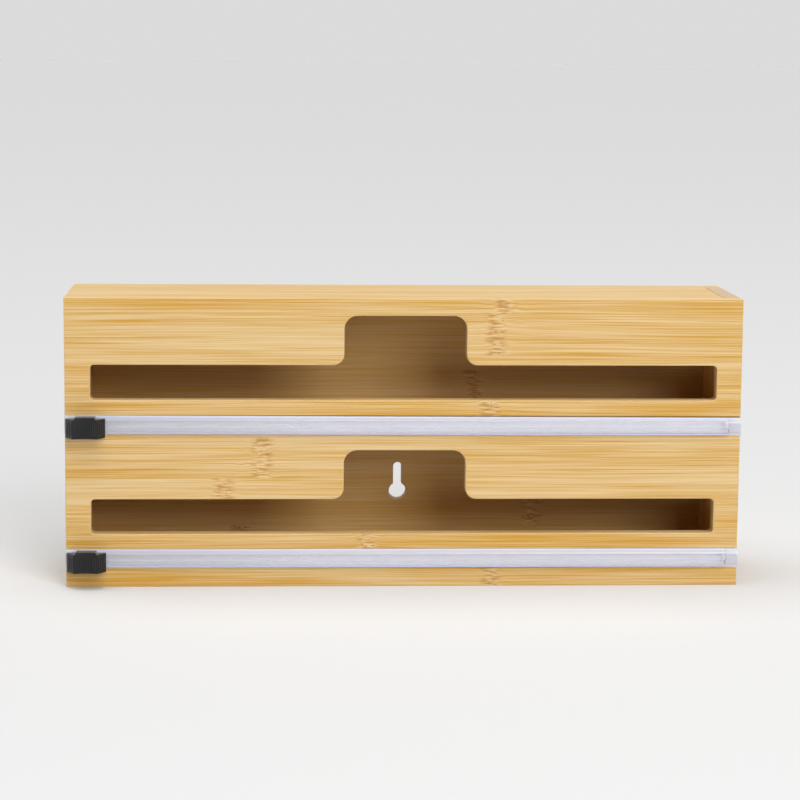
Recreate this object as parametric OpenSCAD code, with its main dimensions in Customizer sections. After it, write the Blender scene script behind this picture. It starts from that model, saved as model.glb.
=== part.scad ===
// Two-tier kitchen wrap dispenser: a bamboo box for two rolls of film or foil, loaded from its right end.
// Each roll feeds out through a slot, over a clear track on which a small slide cutter runs.
// Millimetres, +Z up, front towards -Y. The origin is the centre of the box's underside.

/* [Roll spaces] */
// Length of each roll space, between the two ends
roll_space_w = 319; // [315:1:420]
// Depth of each roll space, front to back
roll_space_d = 56.5; // [48:0.5:80]
// Height of each roll space
roll_space_h = 61; // [60:0.5:80]

/* [Boards] */
// Thickness of the front panel
front_t = 8; // [7.5:0.5:14]
// Thickness of the back panel
back_t = 8; // [6:0.5:14]
// Thickness of the top board
top_t = 8; // [8:0.5:14]
// Thickness of the bottom board
bottom_t = 8; // [8:0.5:14]
// Thickness of the shelf between the two roll spaces
divider_t = 6; // [5:0.5:12]
// Depth of the housings that hold the shelf's edges
housing_depth = 2; // [1:0.5:3]
// Thickness of the fixed left end panel
end_t = 8; // [7:0.5:14]

/* [End cover] */
// Thickness of the removable right end cover
cover_t = 8; // [6:0.5:14]
// Gap all round the cover
cover_gap = 0.3; // [0.2:0.1:0.8]
// Diameter of the cover's finger hole
finger_hole_d = 18; // [14:1:22]
// Distance from the upper roll space's ceiling down to the middle of the finger hole
finger_hole_drop = 14; // [12:0.5:24]
// Diameter of the closing magnets
magnet_d = 6; // [4:0.5:6.5]
// Thickness of the closing magnets
magnet_t = 3; // [1.5:0.5:4]
// Distance of each magnet from the inside of the front or back panel
magnet_inset = 11; // [7:0.5:20]

/* [Film slots] */
// Wood left between a film slot's end and the end of its roll space
slot_land = 4.5; // [3:0.5:15]
// Height of each film slot
slot_h = 17.4; // [12:0.2:20]
// Height of a slot's lower edge above the floor of its roll space
slot_rise = 18.6; // [14:0.2:20]
// Radius of the slot's end corners
slot_r = 2; // [1:0.5:5]
// Width of the finger cutout above a slot
cutout_w = 60.4; // [40:0.2:100]
// Height of the finger cutout above its slot
cutout_h = 24.5; // [14:0.5:26]
// Radius of the cutout's upper corners
cutout_r = 6.5; // [3:0.5:10]
// Radius of the shoulders where the cutout meets the slot
shoulder_r = 5.5; // [2:0.5:9]

/* [Wall hanging] */
// Diameter of the keyhole's round head
keyhole_head_d = 9; // [7:0.5:12]
// Width of the keyhole's narrow slot
keyhole_slot_w = 4.4; // [3.5:0.1:6]
// Distance from the middle of the head to the middle of the slot's end
keyhole_drop = 13.1; // [9:0.1:18]
// Height of the head's middle above the lower floor
keyhole_rise = 28.6; // [12:0.2:34]

/* [Dowel pins] */
// Diameter of the dowel pins
dowel_d = 4; // [3:0.5:5]
// Length of the dowel pins
dowel_l = 20; // [14:1:26]
// Depth of the dowel pins in the panel that they pin to
dowel_bite = 5; // [3:0.5:5.5]
// Distance of the outermost dowel pins from the ends of the roll spaces
dowel_margin = 24.5; // [16:0.5:60]

/* [Cutter tracks] */
// Height of the clear track
track_h = 9.8; // [9:0.1:12]
// Height of the track's lower edge above the floor of its roll space
track_rise = 1.3; // [0.5:0.1:3]
// Depth of the groove that the track lies in
groove_depth = 2.4; // [2:0.1:3]
// How far the track stands out of the front panel
track_proud = 2; // [1.4:0.1:3]
// Thickness of the track's back and lower wall
track_wall = 1; // [0.8:0.1:1.2]
// Thickness of the track's slit face
track_face_t = 1.1; // [0.8:0.1:1.3]
// Height of the channel that the carriage runs in
channel_h = 6.2; // [5.5:0.1:7]
// Height of the lip under the film slit
lip_h = 1.75; // [1.5:0.05:2.2]
// Height of the film slit
slit_h = 2; // [1.6:0.1:2.6]
// Height of the sloping brow along the track's upper edge
brow_h = 2.3; // [1:0.1:2.6]
// Depth of the sloping brow
brow_d = 1.2; // [0.5:0.1:1.6]
// Thickness of the double-sided tape behind the track
tape_t = 0.5; // [0.3:0.1:0.8]
// Margin of the tape inside the track's edges
tape_margin = 0.5; // [0.2:0.1:1.5]
// Length of the stop block at each end of the track
stop_w = 6.2; // [4:0.1:9]

/* [Slide cutters] */
// Width of the grip cap
cap_w = 19.5; // [17:0.5:22]
// Height of the cap at its wings
cap_h = 9.5; // [8.5:0.1:12]
// How far the cap hangs below the track's lower edge
cap_drop = 0.9; // [0.2:0.1:2]
// Width of the cap's raised middle
crown_w = 10.2; // [9:0.1:11]
// Rise of the cap's middle above its wings
crown_rise = 1.4; // [0.5:0.1:2.5]
// Depth of the cap at its two ridges
cap_d = 7; // [6:0.1:9]
// Distance between the two ridges
ridge_w = 11.6; // [11:0.1:14]
// Thickness of the wings at their outer ends
wing_t = 1.7; // [1:0.1:2.5]
// Depth of the thumb hollow between the ridges
hollow_d = 0.9; // [0.5:0.1:1.5]
// Number of ribs in the thumb hollow
rib_count = 9; // [5:2:11]
// Radius of each rib
rib_r = 0.35; // [0.2:0.05:0.4]
// Spacing of the ribs
rib_pitch = 1.05; // [0.9:0.05:1.1]
// Gap between the cap and the track, for the film
film_gap = 0.5; // [0.3:0.1:1]
// Length of the carriage's foot in the channel
foot_w = 8; // [7:0.5:10]
// Length of the carriage's neck in the slit
neck_w = 4; // [3:0.5:4.4]
// Width of the post that carries the cap
post_w = 5.6; // [5.2:0.1:7]
// Height of the post
post_h = 4.6; // [4:0.1:5]
// Depth of the post inside the cap
post_d = 3.6; // [2.8:0.1:4]
// Running clearance of the carriage in its track
run_gap = 0.1; // [0.05:0.05:0.2]
// Thickness of the blade
blade_t = 0.4; // [0.3:0.05:0.5]
// Width of the blade inside the post
blade_w = 4.6; // [4.4:0.1:5]
// Width across the blade's two cutting points
blade_point_w = 6.8; // [5.2:0.1:6.8]
// Length of the blade inside the post
blade_root = 2.6; // [1.5:0.1:2.7]

/* [Hidden] */
$fn = 48;
// Clearance of every glued or pressed seat
seat_gap = 0.05;
// Extra depth that carries a cut clear of a face
past = 1;
TIERS = [0, 1];
SIDES = [-1, 1];

box_w = end_t + roll_space_w + cover_t;
box_d = front_t + roll_space_d + back_t;
box_h = bottom_t + 2 * roll_space_h + divider_t + top_t;
left_x = -box_w / 2;
right_x = box_w / 2;
front_y = -box_d / 2;
back_y = box_d / 2;
inner_front_y = front_y + front_t;
inner_back_y = back_y - back_t;
inner_mid_y = (inner_front_y + inner_back_y) / 2;
inner_left_x = left_x + end_t;
inner_right_x = right_x - cover_t;
divider_z = bottom_t + roll_space_h;
ceiling_z = box_h - top_t;
function floor_z(tier) = bottom_t + tier * (roll_space_h + divider_t);
function track_z(tier) = floor_z(tier) + track_rise;

slot_w = roll_space_w - 2 * slot_land;
slot_top = slot_rise + slot_h;
cutout_top = slot_top + cutout_h;

finger_hole_z = ceiling_z - finger_hole_drop;
magnet_ys = [inner_front_y + magnet_inset, inner_back_y - magnet_inset];
magnet_zs = [bottom_t / 2, ceiling_z + top_t / 2];

dowel_span = roll_space_w - 2 * dowel_margin;
dowel_xs = [for (step = [0:3]) inner_left_x + dowel_margin + step * dowel_span / 3];
end_dowel_x = left_x + end_t / 2;
end_dowel_ys = [inner_mid_y - roll_space_d / 4, inner_mid_y + roll_space_d / 4];
end_dowel_zs = [for (tier = TIERS) floor_z(tier) + roll_space_h / 2];

track_back_y = front_y + groove_depth - tape_t;
track_front_y = front_y - track_proud;
channel_back_y = track_back_y - track_wall;
channel_front_y = track_front_y + track_face_t;
channel_top = track_wall + channel_h;
slit_top = lip_h + slit_h;
slit_mid = lip_h + slit_h / 2;
track_w = box_w - 2 * stop_w;

cap_back_y = track_front_y - film_gap;
cap_front_y = cap_back_y - cap_d;
hollow_r = (ridge_w * ridge_w / 4 + hollow_d * hollow_d) / (2 * hollow_d);
post_z = slit_mid - post_h / 2;
post_front_y = cap_back_y - post_d;
slider_x = left_x + stop_w + run_gap + foot_w / 2;
blade_point_y = (channel_front_y + channel_back_y) / 2;

// A box between two opposite corners
module block(low, high) {
    translate(low)
        cube(high - low);
}

// A flat outline in X and Z, carried back from y0 to y1
module upright(y0, y1) {
    translate([0, y1, 0])
        rotate([90, 0, 0])
            linear_extrude(y1 - y0)
                children();
}

// A rectangle with all four corners rounded
module rounded_rect(low, high, r) {
    translate([low.x + r, low.y])
        square([high.x - low.x - 2 * r, high.y - low.y]);
    translate([low.x, low.y + r])
        square([high.x - low.x, high.y - low.y - 2 * r]);
    for (x = [low.x + r, high.x - r], y = [low.y + r, high.y - r])
        translate([x, y])
            circle(r);
}

// A film slot with the finger cutout above it, measured from the floor of its roll space
module film_opening() {
    rounded_rect([-slot_w / 2, slot_rise], [slot_w / 2, slot_top], slot_r);
    rounded_rect([-cutout_w / 2, slot_rise + slot_r], [cutout_w / 2, cutout_top], cutout_r);
    for (turn = [0, 1])
        mirror([turn, 0])
            translate([cutout_w / 2, slot_top])
                difference() {
                    translate([-past, -past])
                        square(shoulder_r + past);
                    translate([shoulder_r, shoulder_r])
                        circle(shoulder_r);
                }
}

// All dowel pins, or the holes for them, grown by a radial and an end allowance
module dowels(side_gap, end_gap) {
    reach = dowel_l + 2 * end_gap;
    r = dowel_d / 2 + side_gap;
    for (x = dowel_xs, z = magnet_zs) {
        translate([x, inner_front_y - dowel_bite - end_gap, z])
            rotate([-90, 0, 0])
                cylinder(h = reach, r = r);
        translate([x, inner_back_y + dowel_bite + end_gap, z])
            rotate([90, 0, 0])
                cylinder(h = reach, r = r);
    }
    for (z = end_dowel_zs) {
        translate([end_dowel_x, inner_front_y - dowel_bite - end_gap, z])
            rotate([-90, 0, 0])
                cylinder(h = reach, r = r);
        translate([end_dowel_x, inner_back_y + dowel_bite + end_gap, z])
            rotate([90, 0, 0])
                cylinder(h = reach, r = r);
    }
    for (y = end_dowel_ys) {
        translate([end_dowel_x, y, bottom_t - dowel_bite - end_gap])
            cylinder(h = reach, r = r);
        translate([end_dowel_x, y, ceiling_z + dowel_bite + end_gap - reach])
            cylinder(h = reach, r = r);
    }
}

module dowel_holes() {
    dowels(seat_gap, seat_gap);
}

// The four closing magnets on one side of the seam, lying from x0 towards x1
module magnets(x0, x1, side_gap) {
    for (y = magnet_ys, z = magnet_zs)
        translate([min(x0, x1), y, z])
            rotate([0, 90, 0])
                cylinder(h = abs(x1 - x0), r = magnet_d / 2 + side_gap);
}

// The shelf's blank, grown by an allowance where its edges sit in their housings
module shelf_blank(gap) {
    block(
        [inner_left_x - housing_depth - gap, inner_front_y - housing_depth - gap, divider_z - gap],
        [inner_right_x - cover_gap, inner_back_y + housing_depth + gap, divider_z + divider_t + gap]
    );
}

module front_panel() {
    color([0.87, 0.72, 0.47])
        difference() {
            block([left_x, front_y, 0], [right_x, inner_front_y, box_h]);
            for (tier = TIERS) {
                translate([0, 0, floor_z(tier)])
                    upright(front_y - past, inner_front_y + past)
                        film_opening();
                block(
                    [left_x - past, front_y - past, track_z(tier) - seat_gap],
                    [right_x + past, front_y + groove_depth, track_z(tier) + track_h + seat_gap]
                );
            }
            shelf_blank(seat_gap);
            dowel_holes();
        }
}

module back_panel() {
    color([0.84, 0.68, 0.43])
        difference() {
            block([left_x, inner_back_y, 0], [right_x, back_y, box_h]);
            translate([0, inner_back_y - past, floor_z(0) + keyhole_rise])
                rotate([-90, 0, 0]) {
                    cylinder(h = back_t + 2 * past, r = keyhole_head_d / 2);
                    translate([0, -keyhole_drop, 0])
                        cylinder(h = back_t + 2 * past, r = keyhole_slot_w / 2);
                    translate([-keyhole_slot_w / 2, -keyhole_drop, 0])
                        cube([keyhole_slot_w, keyhole_drop, back_t + 2 * past]);
                }
            shelf_blank(seat_gap);
            dowel_holes();
        }
}

module top_board() {
    color([0.90, 0.77, 0.55])
        difference() {
            block([left_x, inner_front_y, ceiling_z], [inner_right_x - cover_gap, inner_back_y, box_h]);
            dowel_holes();
            magnets(inner_right_x - cover_gap - magnet_t - seat_gap, inner_right_x, seat_gap);
        }
}

module bottom_board() {
    color([0.84, 0.68, 0.43])
        difference() {
            block([left_x, inner_front_y, 0], [inner_right_x - cover_gap, inner_back_y, bottom_t]);
            dowel_holes();
            magnets(inner_right_x - cover_gap - magnet_t - seat_gap, inner_right_x, seat_gap);
        }
}

module divider_shelf() {
    color([0.82, 0.66, 0.42])
        shelf_blank(0);
}

module left_end_panel() {
    color([0.85, 0.70, 0.45])
        difference() {
            block([left_x, inner_front_y, bottom_t], [inner_left_x, inner_back_y, ceiling_z]);
            shelf_blank(seat_gap);
            dowel_holes();
        }
}

module dowel_pins() {
    color([0.78, 0.62, 0.40])
        dowels(0, 0);
}

module board_magnets() {
    color([0.78, 0.78, 0.80])
        magnets(inner_right_x - cover_gap - magnet_t, inner_right_x - cover_gap, 0);
}

module right_end_cover() {
    color([0.80, 0.63, 0.38])
        difference() {
            block(
                [inner_right_x, inner_front_y + cover_gap, cover_gap],
                [right_x, inner_back_y - cover_gap, box_h]
            );
            translate([inner_right_x - past, inner_mid_y, finger_hole_z])
                rotate([0, 90, 0])
                    cylinder(h = cover_t + 2 * past, r = finger_hole_d / 2);
            magnets(inner_right_x - past, inner_right_x + magnet_t + seat_gap, seat_gap);
        }
}

module cover_magnets() {
    color([0.78, 0.78, 0.80])
        magnets(inner_right_x, inner_right_x + magnet_t, 0);
}

// The track's section in Y and Z, measured from its lower edge
module track_section() {
    lower_ease = lip_h / 4;
    difference() {
        polygon([
            [track_back_y, 0],
            [track_back_y, track_h],
            [track_front_y + brow_d, track_h],
            [track_front_y, track_h - brow_h],
            [track_front_y, lower_ease],
            [track_front_y + lower_ease, 0]
        ]);
        translate([channel_front_y, track_wall])
            square([channel_back_y - channel_front_y, channel_h]);
        translate([track_front_y - past, lip_h])
            square([track_face_t + 2 * past, slit_h]);
    }
}

// Carries a section in Y and Z along X from x0 to x1
module along_x(x0, x1) {
    translate([x0, 0, 0])
        rotate([90, 0, 90])
            linear_extrude(x1 - x0)
                children();
}

module cutter_track(tier) {
    color([0.83, 0.83, 0.88, 0.75])
        translate([0, 0, track_z(tier)])
            along_x(-track_w / 2, track_w / 2)
                track_section();
}

module track_tape(tier) {
    color([0.95, 0.95, 0.96])
        block(
            [left_x, track_back_y, track_z(tier) + tape_margin],
            [right_x, front_y + groove_depth, track_z(tier) + track_h - tape_margin]
        );
}

// The stop blocks have the track's outside shape, with no channel
module track_stops(tier) {
    color([0.86, 0.86, 0.90, 0.75])
        for (side = SIDES)
            translate([side * (box_w - stop_w) / 2, 0, track_z(tier)])
                along_x(-stop_w / 2, stop_w / 2)
                    polygon([
                        [track_back_y, 0],
                        [track_back_y, track_h],
                        [track_front_y + brow_d, track_h],
                        [track_front_y, track_h - brow_h],
                        [track_front_y, 0]
                    ]);
}

// The blade's plan, with its root in the post and its two cutting points in the channel
module blade_plan(gap) {
    polygon([
        [-blade_w / 2 - gap, cap_back_y - blade_root - gap],
        [blade_w / 2 + gap, cap_back_y - blade_root - gap],
        [blade_w / 2 + gap, cap_back_y],
        [blade_point_w / 2 + gap, blade_point_y + gap],
        [-blade_point_w / 2 - gap, blade_point_y + gap],
        [-blade_w / 2 - gap, cap_back_y]
    ]);
}

module blade_shape(gap) {
    translate([0, 0, slit_mid - blade_t / 2 - gap])
        linear_extrude(blade_t + 2 * gap)
            blade_plan(gap);
}

module cutter_blade(tier) {
    color([0.72, 0.73, 0.75])
        translate([slider_x, 0, track_z(tier)])
            blade_shape(0);
}

// The foot runs in the channel, the neck passes the slit and the post carries the cap
module slider_carriage(tier) {
    color([0.16, 0.16, 0.17])
        translate([slider_x, 0, track_z(tier)])
            difference() {
                union() {
                    block(
                        [-foot_w / 2, channel_front_y + run_gap, track_wall + run_gap],
                        [foot_w / 2, channel_back_y - run_gap, channel_top - run_gap]
                    );
                    block(
                        [-neck_w / 2, cap_back_y - past, lip_h + run_gap],
                        [neck_w / 2, channel_back_y - run_gap, slit_top - run_gap]
                    );
                    block([-post_w / 2, post_front_y, post_z], [post_w / 2, cap_back_y, post_z + post_h]);
                }
                blade_shape(seat_gap);
            }
}

// The cap's plan, from its flat back to the two ridges of the grip
module cap_plan() {
    polygon([
        [-cap_w / 2, cap_back_y],
        [-cap_w / 2, cap_back_y - wing_t],
        [-ridge_w / 2, cap_front_y],
        [ridge_w / 2, cap_front_y],
        [cap_w / 2, cap_back_y - wing_t],
        [cap_w / 2, cap_back_y]
    ]);
}

// A ribbed thumb grip: wings that slope back to the track, and a raised, hollowed middle
module slider_cap(tier) {
    full_h = cap_h + crown_rise;
    hollow_y = cap_front_y + hollow_d - hollow_r;
    color([0.17, 0.17, 0.18])
        translate([slider_x, 0, track_z(tier) - cap_drop]) {
            difference() {
                union() {
                    linear_extrude(cap_h)
                        cap_plan();
                    linear_extrude(full_h)
                        intersection() {
                            cap_plan();
                            translate([-crown_w / 2, cap_front_y])
                                square([crown_w, cap_d]);
                        }
                }
                translate([0, hollow_y, -past])
                    cylinder(h = full_h + 2 * past, r = hollow_r, $fn = 96);
                translate([0, 0, cap_drop])
                    block(
                        [-post_w / 2 - seat_gap, post_front_y - seat_gap, post_z - seat_gap],
                        [post_w / 2 + seat_gap, cap_back_y + past, post_z + post_h + seat_gap]
                    );
            }
            for (rib = [0:rib_count - 1]) {
                turn = asin((rib - (rib_count - 1) / 2) * rib_pitch / hollow_r);
                translate([0, hollow_y, 0])
                    rotate(-turn)
                        translate([0, hollow_r, 0])
                            cylinder(h = full_h, r = rib_r, $fn = 24);
            }
        }
}

module lower_track_tape() { track_tape(0); }
module lower_cutter_track() { cutter_track(0); }
module lower_track_stops() { track_stops(0); }
module lower_slider_carriage() { slider_carriage(0); }
module lower_cutter_blade() { cutter_blade(0); }
module lower_slider_cap() { slider_cap(0); }
module upper_track_tape() { track_tape(1); }
module upper_cutter_track() { cutter_track(1); }
module upper_track_stops() { track_stops(1); }
module upper_slider_carriage() { slider_carriage(1); }
module upper_cutter_blade() { cutter_blade(1); }
module upper_slider_cap() { slider_cap(1); }

front_panel();
back_panel();
top_board();
bottom_board();
divider_shelf();
left_end_panel();
dowel_pins();
board_magnets();
right_end_cover();
cover_magnets();
lower_track_tape();
lower_cutter_track();
lower_track_stops();
lower_slider_carriage();
lower_cutter_blade();
lower_slider_cap();
upper_track_tape();
upper_cutter_track();
upper_track_stops();
upper_slider_carriage();
upper_cutter_blade();
upper_slider_cap();
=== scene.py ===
# The looks of a two-tier bamboo wrap dispenser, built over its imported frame.
# Metres, +Z up, front towards -Y, as in the frame. Sizes are written in millimetres and turned by MM.
import math

import bmesh
import bpy
from mathutils import Matrix, Vector


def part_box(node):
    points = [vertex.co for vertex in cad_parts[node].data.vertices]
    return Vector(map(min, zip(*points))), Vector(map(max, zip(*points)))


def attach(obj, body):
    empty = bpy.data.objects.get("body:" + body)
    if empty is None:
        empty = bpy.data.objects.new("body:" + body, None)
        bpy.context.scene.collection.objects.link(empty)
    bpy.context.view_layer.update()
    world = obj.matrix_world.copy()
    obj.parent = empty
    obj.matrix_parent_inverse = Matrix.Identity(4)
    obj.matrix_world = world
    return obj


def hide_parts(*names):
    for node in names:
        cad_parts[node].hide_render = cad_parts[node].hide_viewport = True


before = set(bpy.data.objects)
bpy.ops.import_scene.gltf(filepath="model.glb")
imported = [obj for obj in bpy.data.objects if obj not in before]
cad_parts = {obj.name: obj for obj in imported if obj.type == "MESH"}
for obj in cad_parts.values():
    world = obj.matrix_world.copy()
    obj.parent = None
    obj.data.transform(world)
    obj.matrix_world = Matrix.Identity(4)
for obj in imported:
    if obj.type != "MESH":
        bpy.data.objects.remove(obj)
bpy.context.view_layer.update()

# Bottom board
# Bamboo strips glued edge to edge, planed to 8 mm, sanded and lacquered. It lies between the front and back
# panels on glued dowel pins, and its right end is bored for two closing magnets.
MM = 0.001
OUTSIDE_EASE = 0.35 * MM
BACK_CORNER_EASE = 2 * MM
OPENING_EASE = 0.6 * MM
SEAM_EASE = 0.1 * MM
EASE_STEPS = 4
FACE_FRAME = 2.5 * MM
TOUCH = 0.01 * MM
SHARP_TURN = math.radians(40)
MAGNET_R = 3 * MM
MAGNET_SIDES = 48
MAGNET_SEAT = 0.05 * MM
PAST_FACE = 1 * MM

# The grain is drawn in millimetres, and its waves are counted per millimetre along the fibres, through the
# board and across the strips
STRIP_H = 20.5
STRIP_SHIFT_ALONG = 317.0
STRIP_SHIFT_ACROSS = 53.7
KNUCKLE_REACH = 400
NO_KNUCKLE = 390
KNUCKLE_CORE = 2.2
KNUCKLE_FADE = 6.0
KNUCKLE_COLLAR = 13.0
KNUCKLE_RAG = 5.0
FIBRE_BEND = 1.5
HAIR_WAVES = (0.016, 1.8, 3.4)
VEIN_WAVES = (0.007, 0.4, 0.32)
CLOUD_WAVES = (0.005, 0.05, 0.085)
SWIRL_WAVES = (0.10, 0.12, 0.25)
DRIFT_WAVES = (0.004, 0.02, 0.02)
RAG_WAVES = (0.03, 0.1, 0.35)
DASH_WAVES = (0.17, 0.9, 1.20)
PORE_WAVES = (0.55, 0.8, 1.10)
SAWN_WAVES = (0.02, 2.4, 0.5)

front_low, front_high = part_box("front_panel")
box_low = front_low
box_high = (front_high[0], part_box("back_panel")[1][1], front_high[2])


def arris_ease(one, two):
    """How far an arris is rounded: most of all at the box's upright back corners, less where two other
    outside faces meet, and hardly at a flush seam."""
    outside = []
    for side, face in (("low", box_low), ("high", box_high)):
        for axis in range(3):
            if abs(one[axis] - face[axis]) < TOUCH and abs(two[axis] - face[axis]) < TOUCH:
                outside.append(side + "XYZ"[axis])
    if len(outside) < 2:
        return SEAM_EASE
    upright_back = "highY" in outside and "lowZ" not in outside and "highZ" not in outside
    return BACK_CORNER_EASE if upright_back else OUTSIDE_EASE


def settle(piece):
    """Turns what the modifiers make into the piece's own mesh."""
    made = bpy.data.meshes.new_from_object(piece.evaluated_get(bpy.context.evaluated_depsgraph_get()))
    piece.modifiers.clear()
    piece.data = made


def even_shading(piece):
    """Smooth over the rounded edges, with the flat faces kept flat."""
    piece.data.shade_smooth()
    piece.data.set_sharp_from_angle(angle=SHARP_TURN)
    weigh = piece.modifiers.new("even shading", "WEIGHTED_NORMAL")
    weigh.keep_sharp = True
    settle(piece)


def new_piece(name, bm):
    """Puts what was drawn into the scene as an object of its own."""
    mesh = bpy.data.meshes.new(name)
    bmesh.ops.recalc_face_normals(bm, faces=bm.faces)
    bm.to_mesh(mesh)
    bm.free()
    piece = bpy.data.objects.new(name, mesh)
    bpy.context.scene.collection.objects.link(piece)
    return piece


def wall(bm, one, two):
    """Faces between two rings of points."""
    for step in range(len(one)):
        bm.faces.new((one[step - 1], one[step], two[step], two[step - 1]))


def quarter_round(radius):
    """Steps over a rounded arris, each by how far it lies in from the two faces that meet there."""
    turns = [math.radians(90 * step / EASE_STEPS) for step in range(EASE_STEPS + 1)]
    return [(radius * (1 - math.sin(turn)), radius * (1 - math.cos(turn))) for turn in turns]


def eased_board(node, through, openings=(), opening_ease=OPENING_EASE):
    """A board in its node's place, with every arris rounded. An opening is an outline, as a function of how
    far it is widened, and its rims are rounded by widening it towards the two faces."""
    low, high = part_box(node)
    deep = "XYZ".index(through)
    across, up = [axis for axis in range(3) if axis != deep]
    bm = bmesh.new()
    weight = bm.edges.layers.float.new("bevel_weight_edge")

    def ring(points, depth):
        made = []
        for a, b in points:
            place = [depth, depth, depth]
            place[across] = a
            place[up] = b
            made.append(bm.verts.new(place))
        return made

    def rectangle(inset):
        left, right = low[across] + inset, high[across] - inset
        lower, upper = low[up] + inset, high[up] - inset
        return [(left, lower), (right, lower), (right, upper), (left, upper)]

    near, far = low[deep], high[deep]
    blank = [ring(rectangle(FACE_FRAME), near), ring(rectangle(0), near)]
    blank += [ring(rectangle(0), far), ring(rectangle(FACE_FRAME), far)]
    for one, two in zip(blank, blank[1:]):
        wall(bm, one, two)
    arrises = list(zip(blank[1], blank[2]))
    for side in (blank[1], blank[2]):
        arrises += [(side[step - 1], side[step]) for step in range(len(side))]
    for one, two in arrises:
        bm.edges.get((one, two))[weight] = arris_ease(one.co, two.co) / BACK_CORNER_EASE

    rims = [[blank[0]], [blank[3]]]
    rows = quarter_round(opening_ease)
    for opening in openings:
        rings = [ring(opening(widen), near + depth) for widen, depth in rows]
        rings += [ring(opening(widen), far - depth) for widen, depth in reversed(rows)]
        for one, two in zip(rings, rings[1:]):
            wall(bm, one, two)
        rims[0].append(rings[0])
        rims[1].append(rings[-1])
    for rim in rims:
        edges = []
        for loop in rim:
            for step in range(len(loop)):
                edges.append(bm.edges.get((loop[step - 1], loop[step])))
        bmesh.ops.triangle_fill(bm, edges=edges, use_beauty=True)

    piece = new_piece(node + "_wood", bm)
    ease = piece.modifiers.new("eased arrises", "BEVEL")
    ease.limit_method = "WEIGHT"
    ease.width = BACK_CORNER_EASE
    ease.segments = EASE_STEPS
    settle(piece)
    return piece


def cut_away(piece, cutters):
    """Takes the shape of each cutter out of a piece."""
    for cutter in cutters:
        cut = piece.modifiers.new("cut", "BOOLEAN")
        cut.operation = "DIFFERENCE"
        cut.solver = "EXACT"
        cut.object = cutter
    settle(piece)
    for cutter in cutters:
        bpy.data.objects.remove(cutter)


def magnet_span(magnets):
    """The lowest and highest middle of a set of closing magnets."""
    low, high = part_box(magnets)
    inset = Vector((0, MAGNET_R, MAGNET_R))
    return low + inset, high - inset


def bore_for_magnets(piece, node, magnets, past_low, past_high):
    """Drills a board for those closing magnets that lie in it, and past its face on the open side."""
    board_low, board_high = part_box(node)
    low, high = magnet_span(magnets)
    start, end = low[0] - past_low, high[0] + past_high
    radius = MAGNET_R + MAGNET_SEAT
    sizes = {"radius1": radius, "radius2": radius, "depth": end - start}
    turn = Matrix.Rotation(math.radians(90), 4, "Y")
    drills = []
    for y in (low[1], high[1]):
        for z in (low[2], high[2]):
            if board_low[2] < z < board_high[2]:
                bm = bmesh.new()
                place = Matrix.Translation(((start + end) / 2, y, z)) @ turn
                bmesh.ops.create_cone(bm, cap_ends=True, segments=MAGNET_SIDES, matrix=place, **sizes)
                drills.append(new_piece("drill", bm))
    cut_away(piece, drills)


def fit(piece, node, body, material=None):
    """Puts a finished piece on its body, in place of its CAD node, with its material if it has none yet."""
    if material:
        piece.data.materials.append(material)
    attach(piece, body)
    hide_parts(node)


def new_material(name):
    material = bpy.data.materials.new(name)
    material.use_nodes = True
    return material, material.node_tree, material.node_tree.nodes["Principled BSDF"]


def plug(tree, node, inputs):
    """Gives a node its inputs, each a plain value or another node's output."""
    for key, value in dict(inputs).items():
        if isinstance(value, bpy.types.NodeSocket):
            tree.links.new(value, node.inputs[key])
        else:
            node.inputs[key].default_value = value


def add(tree, kind, inputs=(), **settings):
    """A new node with its settings and inputs."""
    made = tree.nodes.new(kind)
    for name, value in settings.items():
        setattr(made, name, value)
    plug(tree, made, inputs)
    return made


def calc(tree, operation, *values):
    return add(tree, "ShaderNodeMath", enumerate(values), operation=operation).outputs[0]


def spread(tree, value, low, high, to_low=0.0, to_high=1.0):
    """Stretches a value between two limits, and holds it there."""
    limits = {"Value": value, "From Min": low, "From Max": high, "To Min": to_low, "To Max": to_high}
    return add(tree, "ShaderNodeMapRange", limits).outputs["Result"]


def vary(tree, pattern, low=0.0, high=1.0):
    """Lets a noise, which seldom leaves the middle of its range, carry a value between two limits."""
    return spread(tree, pattern, 0.3, 0.7, low, high)


def bell(tree, distance, width):
    """One at distance 0, fading to nothing at about twice the width."""
    share = calc(tree, "DIVIDE", distance, width)
    return calc(tree, "EXPONENT", calc(tree, "MULTIPLY", calc(tree, "MULTIPLY", share, share), -1.0))


def noise(tree, place, waves, detail=2.0, rough=0.5):
    """Noise over a place in millimetres, with its own number of waves per millimetre along each axis."""
    scaled = add(tree, "ShaderNodeVectorMath", {0: place, 1: waves}, operation="MULTIPLY").outputs[0]
    inputs = {"Vector": scaled, "Scale": 1.0, "Detail": detail, "Roughness": rough}
    return add(tree, "ShaderNodeTexNoise", inputs).outputs["Fac"]


def blend(tree, amount, under, over):
    """One colour laid over another; each is a node's output or a written colour."""
    under, over = [(*colour, 1.0) if isinstance(colour, tuple) else colour for colour in (under, over)]
    return add(tree, "ShaderNodeMix", {"Factor": amount, 6: under, 7: over}, data_type="RGBA").outputs[2]


def vector(tree, *parts):
    return add(tree, "ShaderNodeCombineXYZ", enumerate(parts)).outputs[0]


def place_in_mm(tree):
    """Where a point of the piece lies, in millimetres, axis by axis."""
    split = add(tree, "ShaderNodeSeparateXYZ", {0: tree.nodes.new("ShaderNodeTexCoord").outputs["Object"]})
    return [calc(tree, "DIVIDE", split.outputs[axis], MM) for axis in "XYZ"]


def relief(tree, shader, height, strength, distance):
    bump = add(tree, "ShaderNodeBump", {"Height": height, "Strength": strength, "Distance": distance})
    tree.links.new(bump.outputs["Normal"], shader.inputs["Normal"])


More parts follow.
